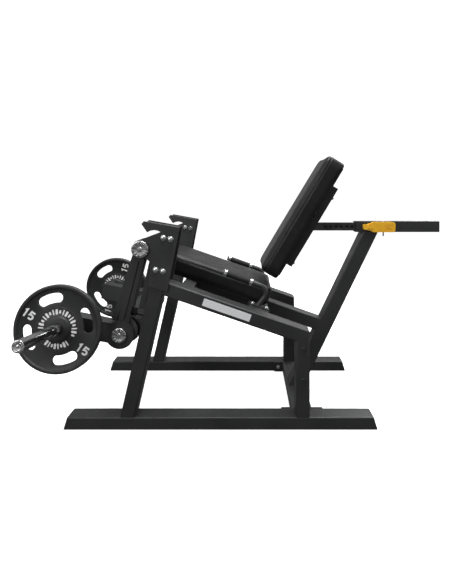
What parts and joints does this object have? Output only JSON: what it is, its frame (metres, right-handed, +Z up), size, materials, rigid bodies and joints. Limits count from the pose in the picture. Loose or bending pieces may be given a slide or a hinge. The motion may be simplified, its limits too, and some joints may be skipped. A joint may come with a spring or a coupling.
{
  "type": "plate-loaded leg extension machine",
  "caption": "Plate-loaded leg extension machine: inclined seat, sliding back rest and a swinging lever with a foam shin roller and weight plates on outboard horns.",
  "frame": {"origin": "on the floor under the centre of the machine's bounding box", "axes": "+X to the back of the machine, so the user on the seat faces -X; -Y is the user's left; +Z up"},
  "size_m": [2.158, 1.703, 1.3339],
  "materials": {
    "frame_paint": "satin",
    "chrome": "polished",
    "bare_steel": "satin",
    "cast_iron": "satin",
    "upholstery": "satin",
    "board": "matte",
    "wear_plastic": "matte",
    "rubber": "matte",
    "lever_yellow": "gloss",
    "name_plate": "gloss"
  },
  "bodies": {
    "frame": {"base_rail_left": "frame_paint", "base_rail_right": "frame_paint", "front_post_left": "frame_paint", "front_post_right": "frame_paint", "top_beam_left": "frame_paint", "top_beam_right": "frame_paint", "rear_leg_left": "frame_paint", "rear_leg_right": "frame_paint", "hook_plate_outer_left": "frame_paint", "hook_plate_outer_right": "frame_paint", "hook_plate_inner_left": "frame_paint", "hook_plate_inner_right": "frame_paint", "hook_wear_block_left": "wear_plastic", "hook_wear_block_right": "wear_plastic", "bracket_bolts_left": "chrome", "bracket_bolts_right": "chrome", "pivot_axle_left": "chrome", "pivot_axle_right": "chrome", "grab_handle_left": "frame_paint", "grab_handle_right": "frame_paint", "handle_grip_left": "rubber", "handle_grip_right": "rubber", "rear_leg_bolts": "chrome", "name_plates": "name_plate", "stop_bumpers": "rubber", "post_guards": "frame_paint", "rear_cross_tube": "frame_paint", "cross_tube_bolts": "chrome", "front_cross_tube": "frame_paint", "middle_beam": "frame_paint", "back_post": "frame_paint", "slide_tube": "frame_paint", "release_hinge_pin": "chrome", "slide_bushing": "wear_plastic", "slide_end_plug": "wear_plastic", "seat_board": "board", "seat_pad": "upholstery", "handle_bars": "frame_paint", "handle_fittings": "chrome"},
    "back_rest": {"back_pad": "upholstery", "back_board": "board", "back_spine": "frame_paint", "back_bolts": "chrome", "inner_tube": "bare_steel"},
    "release": {"release_lever": "lever_yellow"},
    "lock": {"lock_pin": "chrome"},
    "lever": {"lever_arm_left": "frame_paint", "lever_arm_right": "frame_paint", "weight_arm_left": "frame_paint", "weight_arm_right": "frame_paint", "plate_horn_left": "bare_steel", "plate_horn_right": "bare_steel", "lever_braces": "frame_paint", "horn_caps": "wear_plastic", "roller_axle": "bare_steel", "axle_caps": "chrome"},
    "roller": {"roller_sleeve": "wear_plastic", "roller_foam": "upholstery"},
    "plate_left": {"weight_plate_left": "cast_iron"},
    "plate_right": {"weight_plate_right": "cast_iron"}
  },
  "joints": [
    {"name": "lever_swing", "type": "hinge", "parent": "frame", "child": "lever", "pos_m": [-0.507, 0, 0.862], "axis": [0, 1, 0], "range_deg": [0, 96]},
    {"name": "roller_spin", "type": "hinge", "parent": "lever", "child": "roller", "pos_m": [-0.6125, 0, 0.448], "axis": [0, 1, 0], "continuous": true},
    {"name": "plate_left_slide", "type": "slide", "parent": "lever", "child": "plate_left", "axis": [0, -0.9949, 0.1011], "range_m": [0, 0.4]},
    {"name": "plate_right_slide", "type": "slide", "parent": "lever", "child": "plate_right", "axis": [0, 0.9949, 0.1011], "range_m": [0, 0.4]},
    {"name": "back_slide", "type": "slide", "parent": "frame", "child": "back_rest", "axis": [1, 0, 0], "range_m": [-0.06, 0.18]},
    {"name": "release_turn", "type": "hinge", "parent": "frame", "child": "release", "pos_m": [0.756, -0.05, 0.9425], "axis": [0, 0, 1], "range_deg": [-4.7, 5.5]},
    {"name": "lock_slide", "type": "slide", "parent": "frame", "child": "lock", "axis": [0, -1, 0], "range_m": [-0.0066, 0.0078]}
  ],
  "couplings": [
    {"joint": "lock_slide", "follows": "release_turn", "m_per_rad": 0.077}
  ]
}
